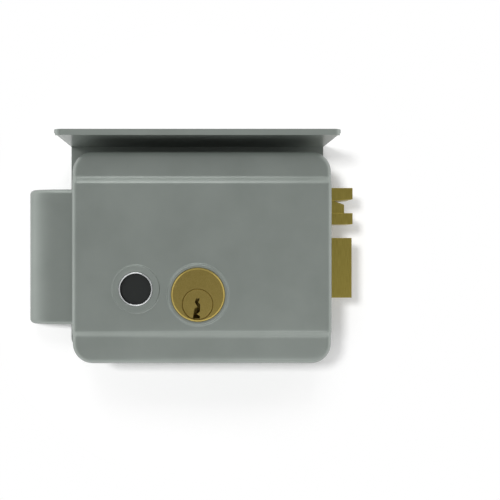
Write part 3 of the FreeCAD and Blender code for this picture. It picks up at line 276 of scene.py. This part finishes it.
def make_cover():
    """The cover's skin: a face grid with round patches at its two holes, a rounded edge, and side walls.

    Face points are (x, -deep(z), z), with deep(z) the soft-creased band. The border goes round the face's
    rectangle. From there each point moves outwards by CORNER less EDGE, then along a quarter circle of
    radius EDGE, and then down the wall. Round each hole a collar eases down to the face.
    """
    x, z = np.meshgrid(FACE_X, FACE_Z)
    points = np.stack([x, -face_deep(z), z], axis=-1).reshape(-1, 3)
    faces = quads(len(FACE_Z), len(FACE_X))
    middle = points[faces].mean(axis=1)
    for spot in HOLES.values():
        aside = np.abs(middle[:, (0, 2)] - np.array(spot["centre"])).max(axis=1)
        keep = aside > spot["half"]
        faces, middle = faces[keep], middle[keep]
    grids = [(points, faces)]
    for spot in HOLES.values():
        centre, half = np.array(spot["centre"]), spot["half"]
        across = within(FACE_X, centre[0] - half, centre[0] + half)
        up = within(FACE_Z, centre[1] - half, centre[1] + half)
        ring = [spot["hole"], spot["hole"] + 0.12, spot["hole"] + 0.35]
        radii = ring + list(np.linspace(spot["flat"] - 0.2, spot["foot"], 9)) + [spot["foot"] + 0.6]

        def lift(away, spot=spot):
            """The collar's height: rounded at the hole and eased down outside."""
            inner = 0.3 * (1 - np.sqrt(1 - np.clip(1 - (away - spot["hole"]) / 0.35, 0, 1) ** 2))
            return spot["rise"] * (1 - ease((away - spot["flat"]) / (spot["foot"] - spot["flat"]))) - inner

        flat, height, faces = patch(centre, across, up, radii, lift)
        points = np.stack([flat[:, 0], -face_deep(flat[:, 1]) - height, flat[:, 1]], axis=-1)
        grids.append((points, faces[:, ::-1]))

    low, high = FACE_Z[0], FACE_Z[-1]
    left, right = FACE_X[0], FACE_X[-1]
    arc = np.radians(np.linspace(0, 90, 13))
    sides = [
        (np.stack([FACE_X, np.full(len(FACE_X), low)], 1), np.full(len(FACE_X), -90.0)),
        (np.stack([np.full(len(FACE_Z), right), FACE_Z], 1), np.zeros(len(FACE_Z))),
        (np.stack([FACE_X[::-1], np.full(len(FACE_X), high)], 1), np.full(len(FACE_X), 90.0)),
        (np.stack([np.full(len(FACE_Z), left), FACE_Z[::-1]], 1), np.full(len(FACE_Z), 180.0)),
    ]
    base = np.vstack([np.vstack([spots, np.repeat(spots[-1:], len(arc) - 2, 0)]) for spots, turn in sides])
    turns = [np.concatenate([np.radians(turn), np.radians(turn[-1]) + arc[1:-1]]) for spots, turn in sides]
    out = np.concatenate(turns)
    way = np.stack([np.cos(out), np.sin(out)], axis=1)
    flat_run = CORNER - EDGE
    bend = np.radians(np.linspace(0, 90, 9))
    shifts = np.concatenate([np.linspace(0, flat_run, 5)[:-1], flat_run + EDGE * np.sin(bend)])
    drops = np.concatenate([np.zeros(4), EDGE * (1 - np.cos(bend))])
    rows = []
    for shift, drop in zip(shifts, drops):
        spot = base + way * shift
        rows.append(np.stack([spot[:, 0], -(face_deep(spot[:, 1]) - drop), spot[:, 1]], axis=1))
    outer = base + way * CORNER
    for deep in WALL_DEEP:
        rows.append(np.stack([outer[:, 0], np.full(len(outer), -deep), outer[:, 1]], axis=1))
    points = np.vstack(rows)
    faces = quads(len(rows), len(base), closed=True)
    middle = points[faces].mean(axis=1)
    across, deep, up = middle.T
    wing = (across < -SIDE + 0.1) & (np.abs(up) < WING_GAP["half"]) & (deep > -WING_GAP["deep"])
    right = (across > SIDE - 0.1) & (deep > -FOREND_GAP["deep"])
    forend = right & (up > FOREND_GAP["low"]) & (up < FOREND_GAP["high"])
    aside = np.abs(np.abs(across) - SCREW_GAP["aside"])
    half, screw_deep = SCREW_GAP["half"], SCREW_GAP["deep"]
    screws = (up < -TOP + 0.1) & (aside < half) & (np.abs(deep + screw_deep) < half)
    grids.append((points, faces[~(wing | forend | screws)][:, ::-1]))
    radii = [SCREW_GAP["hole"], 3.3, 3.8]
    for side in (-SCREW_GAP["aside"], SCREW_GAP["aside"]):
        across = within(FACE_X, side - half, side + half)
        away = np.sort(within(WALL_DEEP, screw_deep - half, screw_deep + half))
        flat, height, faces = patch(np.array((side, screw_deep)), across, away, radii, np.zeros_like)
        points = np.stack([flat[:, 0], -flat[:, 1], np.full(len(flat), -TOP)], axis=1)
        grids.append((points, faces[:, ::-1]))
    cover = surface("pressed_cover", grids, "grey_paint")
    sheet = cover.modifiers.new("sheet", "SOLIDIFY")
    sheet.thickness = COVER_SHEET * MM
    sheet.offset = -1
    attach(cover, "case")
    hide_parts("front_cover")


# The wing in millimetres: its outer box, the long curve of its face, and the flanges on the carriage.
WING_LEFT, WING_RIGHT, WING_HALF, WING_BACK, WING_DEEP = -95.2, -62.4, 36.9, 3.8, 17.8
WING_CURVE_LONG, WING_CURVE_RISE, WING_CURVE_LOW, WING_ROUND = 17.0, 9.4, 7.6, 2.6
WING_SHEET = 1.2
FLANGE = {"left": -92.0, "right": -70.0, "inner": 29.5, "outer": 35.7, "deep": 5.8}
RIVET = {"x": -81.0, "up": 33.2, "hole": 1.5}


def make_wing():
    """The wing's hollow shell: one profile carried up the wing, its ends rounded over and closed.

    Seen from above, the profile goes straight up the left wall, along a quarter of an ellipse, and then
    nearly level to the case. Towards each end it shrinks along its own normals by r (1 - cos a) while the
    height grows by r sin a. The end is ruled from there straight back. Each flange is flat round its rivet.
    """
    share = np.linspace(0, 1, 7)
    wall = np.stack([np.full(7, WING_LEFT), WING_BACK + (WING_CURVE_LOW - WING_BACK) * share], axis=1)
    turn = np.radians(np.linspace(180, 90, 25))[1:]
    curve = np.stack([
        WING_LEFT + WING_CURVE_LONG * (1 + np.cos(turn)), WING_CURVE_LOW + WING_CURVE_RISE * np.sin(turn),
    ], axis=1)
    level = np.linspace(curve[-1], (WING_RIGHT, WING_DEEP), 9)[1:]
    profile = np.vstack([wall, curve, level])
    along = np.gradient(profile, axis=0)
    normal = np.stack([-along[:, 1], along[:, 0]], axis=1) / np.hypot(*along.T)[:, None]
    normal[:7], normal[-1] = (-1, 0), (0, 1)
    arc = np.radians(np.linspace(90, 0, 9))
    straight = WING_HALF - WING_ROUND
    heights = np.concatenate([
        -straight - WING_ROUND * np.sin(arc), np.linspace(-straight, straight, 15)[1:-1],
        straight + WING_ROUND * np.sin(arc[::-1]),
    ])
    rounding = WING_ROUND * (1 - np.cos(arc))
    shrink = np.concatenate([rounding, np.zeros(13), rounding[::-1]])
    spots = profile - shrink[:, None, None] * normal
    skin = np.stack([spots[..., 0], -spots[..., 1], heights[:, None] + 0 * spots[..., 0]], axis=-1)
    grids = [(skin.reshape(-1, 3), quads(len(heights), len(profile)))]
    rim_line = spots[0][6:]
    back = -WING_BACK - (rim_line[:, 1] - WING_BACK) * share[::-1, None]
    for end, way in ((WING_HALF, 1), (-WING_HALF, -1)):
        cap = np.stack([rim_line[:, 0] + 0 * back, back, np.full(back.shape, end)], axis=-1)
        grids.append((cap.reshape(-1, 3), quads(*back.shape)[:, ::way]))
    for side in (1, -1):
        across = np.linspace(FLANGE["left"], FLANGE["right"], 12)
        up = np.sort(side * np.linspace(FLANGE["inner"], FLANGE["outer"], 5))
        rings = [RIVET["hole"], RIVET["hole"] + 0.4]
        rivet = np.array((RIVET["x"], side * RIVET["up"]))
        flat, height, faces = patch(rivet, across, up, rings, np.zeros_like)
        points = np.stack([flat[:, 0], np.full(len(flat), -FLANGE["deep"]), flat[:, 1]], axis=1)
        grids.append((points, faces))
    wing = surface("side_fairing", grids, "grey_paint")
    sheet = wing.modifiers.new("sheet", "SOLIDIFY")
    sheet.thickness = WING_SHEET * MM
    sheet.offset = -1
    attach(wing, "carriage")
    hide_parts("side_wing")


def lathe(name, centre, profile, finish, parts=96):
    """A turned piece: a profile of radius and distance from the gate, carried once round its own axis."""
    profile = np.array(profile)
    turn = np.linspace(0, 2 * np.pi, parts, endpoint=False)
    radius, deep = profile[:, :1], profile[:, 1:]
    x = centre[0] + radius * np.cos(turn)
    z = centre[1] + radius * np.sin(turn)
    y = -deep + 0 * turn
    points = np.stack([x, y, z], axis=-1).reshape(-1, 3)
    return surface(name, [(points, quads(len(profile), parts, closed=True))], finish)


def rim(radius, deep, size, start, end, steps=7):
    """Profile points along an arc, its angles from the axis outwards."""
    turn = np.radians(np.linspace(start, end, steps))
    return [(radius + size * math.cos(angle), deep + size * math.sin(angle)) for angle in turn]


def make_button():
    """The button's chrome sleeve with a domed rim, and its black cap, slightly dished, with a soft edge."""
    sleeve = rim(8.27, 41.0, 0.35, 0, 180, 15)
    inside = [(7.92, 33.0), (7.92, 29.5), (2.65, 29.5), (2.65, 28.0), (8.62, 28.0)]
    profile = [(8.62, 28.0), (8.62, 33.0)] + sleeve + inside
    centre = HOLES["button"]["centre"]
    made = lathe("chrome_sleeve", centre, profile, "chrome")
    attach(made, "case")
    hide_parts("button_bezel")
    edge = rim(7.32, 37.75, 0.55, 0, 90, 8)
    dish = [(radius, 38.0 + 0.3 * (radius / 7.32) ** 2) for radius in (6.4, 5.0, 3.5, 2.0, 0.8, 0.0)]
    profile = [(0.0, 24.0), (2.6, 24.0), (2.6, 35.3), (7.87, 35.3)] + edge + dish
    made = lathe("button_disc", centre, profile, "black_plastic")
    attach(made, "button")
    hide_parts("button_cap")


def merged_copy(node, name, finish, body):
    """A piece in place of a solid: its own mesh with doubled corners merged and flat faces whole again."""
    mesh = bpy.data.meshes.new(name)
    form = bmesh.new()
    form.from_mesh(frame["nodes"][node].data)
    bmesh.ops.remove_doubles(form, verts=form.verts, dist=1e-6)
    bmesh.ops.dissolve_limit(form, angle_limit=math.radians(0.5), verts=form.verts, edges=form.edges)
    form.to_mesh(mesh)
    form.free()
    mesh.materials.clear()
    mesh.materials.append(finishes[finish])
    made = bpy.data.objects.new(name, mesh)
    bpy.context.scene.collection.objects.link(made)
    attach(made, body)
    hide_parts(node)
    return made


def make_bolt(node, name, body, width):
    """A brass bolt with its sharp edges broken by a small bevel, as milling and deburring leave them."""
    made = merged_copy(node, name, "brass", body)
    made.data.shade_flat()
    edge = made.modifiers.new("edge", "BEVEL")
    edge.width = width * MM
    edge.segments = 2
    edge.limit_method = "ANGLE"
    edge.angle_limit = math.radians(40)
    edge.harden_normals = True


def make_spring(node, name):
    """A coil spring in place of its solid, smoothly shaded and with a mesh of its own."""
    made = merged_copy(node, name, "spring_steel", "case")
    made.data.shade_smooth()
    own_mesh(made)


make_cover()
make_wing()
make_button()
make_bolt("main_latch", "soft_edged_latch", "latch", 0.35)
make_bolt("cocking_bolt", "soft_edged_cocking_bolt", "cocking", 0.3)
make_spring("latch_spring", "latch_coil_spring")
make_spring("cocking_spring", "cocking_coil_spring")
make_spring("button_spring", "button_coil_spring")
make_spring("armature_spring", "armature_coil_spring")


def make_stage():
    """White paper behind the lock, with an opening at the lock's back; further away it is plain white.

    The paper is a grid of four-cornered faces without those whose middle lies in the opening.
    """
    half, away = 420, 0.4
    across, up = np.array([-half, -82, -65, 65, half]), np.array([-half, -53, -35, 35, 61, half])
    x, z = np.meshgrid(across, up)
    points = np.stack([x, np.full(x.shape, away), z], axis=-1).reshape(-1, 3)
    faces = quads(len(up), len(across))
    middle = points[faces].mean(axis=1)
    behind_case = (np.abs(middle[:, 0]) < 65) & (np.abs(middle[:, 2] - 4) < 57)
    behind_wing = (middle[:, 0] > -82) & (middle[:, 0] < 0) & (np.abs(middle[:, 2]) < 35)
    mesh = bpy.data.meshes.new("white_backdrop")
    mesh.from_pydata((points * MM).tolist(), [], faces[~(behind_case | behind_wing)].tolist())
    backdrop = bpy.data.objects.new("white_backdrop", mesh)
    bpy.context.scene.collection.objects.link(backdrop)
    made = bpy.data.materials.new("white_paper")
    made.use_nodes = True
    tree = made.node_tree
    tree.nodes.clear()
    spot = add(tree, "ShaderNodeTexCoord")
    distance = add(tree, "ShaderNodeVectorMath", {"Vector": spot.outputs["Object"]}, operation="LENGTH")
    far = add(tree, "ShaderNodeMapRange", {
        "Value": distance.outputs["Value"], "From Min": 0.08, "From Max": 0.13,
    }, interpolation_type="SMOOTHSTEP")
    paper = add(tree, "ShaderNodeBsdfDiffuse", {"Color": linear("#F4F4F4")})
    glow = add(tree, "ShaderNodeEmission", {"Color": linear("#FFFFFF"), "Strength": 0.14})
    lit = add(tree, "ShaderNodeAddShader")
    tree.links.new(paper.outputs[0], lit.inputs[0])
    tree.links.new(glow.outputs[0], lit.inputs[1])
    white = add(tree, "ShaderNodeEmission", {"Color": linear("#FFFFFF"), "Strength": 1.0})
    front = add(tree, "ShaderNodeMixShader", {"Fac": far.outputs["Result"]})
    tree.links.new(lit.outputs[0], front.inputs[1])
    tree.links.new(white.outputs[0], front.inputs[2])
    clear = add(tree, "ShaderNodeBsdfTransparent")
    side = add(tree, "ShaderNodeNewGeometry")
    chosen = add(tree, "ShaderNodeMixShader", {"Fac": side.outputs["Backfacing"]})
    tree.links.new(front.outputs[0], chosen.inputs[1])
    tree.links.new(clear.outputs[0], chosen.inputs[2])
    add(tree, "ShaderNodeOutputMaterial", {"Surface": chosen.outputs[0]})
    mesh.materials.append(made)


def make_lamp(name, place, size, power, aim=(0, 0, 0), mirrored=True):
    """A square soft box that looks at a point; a flagged one is not mirrored in the lock's face."""
    light = bpy.data.lights.new(name, "AREA")
    light.size = size
    light.energy = power
    lamp = bpy.data.objects.new(name, light)
    lamp.location = place
    way = np.array(aim, float) - np.array(place, float)
    lamp.rotation_euler = Vector(way).to_track_quat("-Z", "Y").to_euler()
    lamp.visible_glossy = mirrored
    bpy.context.scene.collection.objects.link(lamp)


def make_world():
    """White to the eye; its light is a pale tent, bright at the sides and dim towards the camera."""
    world = bpy.data.worlds.new("studio")
    bpy.context.scene.world = world
    world.use_nodes = True
    tree = world.node_tree
    tree.nodes.clear()
    path = add(tree, "ShaderNodeLightPath")
    way = add(tree, "ShaderNodeTexCoord")
    parts = add(tree, "ShaderNodeSeparateXYZ", {"Vector": way.outputs["Generated"]})
    tent = add(tree, "ShaderNodeMapRange", {
        "Value": parts.outputs["Y"], "From Min": -1.0, "From Max": 0.0,
        "To Min": TENT_FRONT, "To Max": TENT_SIDE,
    }, interpolation_type="SMOOTHSTEP")
    gloss = add(tree, "ShaderNodeMapRange", {
        "Value": path.outputs["Is Glossy Ray"], "To Min": 1.0, "To Max": TENT_GLOSS,
    })
    total = add(tree, "ShaderNodeMath", operation="MULTIPLY")
    tree.links.new(tent.outputs["Result"], total.inputs[0])
    tree.links.new(gloss.outputs["Result"], total.inputs[1])
    soft = add(tree, "ShaderNodeBackground", {"Color": linear("#FFFFFF"), "Strength": total.outputs[0]})
    white = add(tree, "ShaderNodeBackground", {"Color": linear("#FFFFFF"), "Strength": 1.0})
    mix = add(tree, "ShaderNodeMixShader", {"Fac": path.outputs["Is Camera Ray"]})
    tree.links.new(soft.outputs[0], mix.inputs[1])
    tree.links.new(white.outputs[0], mix.inputs[2])
    add(tree, "ShaderNodeOutputWorld", {"Surface": mix.outputs[0]})


def make_camera():
    """The photograph's view: straight on from 385 mm, its middle 53 pixels right of the lens axis."""
    camera = bpy.data.cameras.new("camera")
    camera.lens = 48.8
    camera.sensor_width = 36
    camera.shift_x = 53 / 500
    camera.shift_y = -3 / 500
    seat = bpy.data.objects.new("camera", camera)
    seat.location = (-0.0025, -0.385, 0.0054)
    seat.rotation_euler = (math.pi / 2, 0, 0)
    bpy.context.scene.collection.objects.link(seat)
    bpy.context.scene.camera = seat


make_stage()
make_world()
make_camera()
make_lamp("key_light", (-0.40, -1.2, 0.22), 0.17, 8.6, mirrored=False)
make_lamp("top_softbox", (-0.1, -0.75, 0.85), 0.6, 3.4)
make_lamp("low_softbox", (0.15, -0.85, -0.5), 0.5, 1.2)
bpy.context.scene.view_settings.view_transform = "Standard"
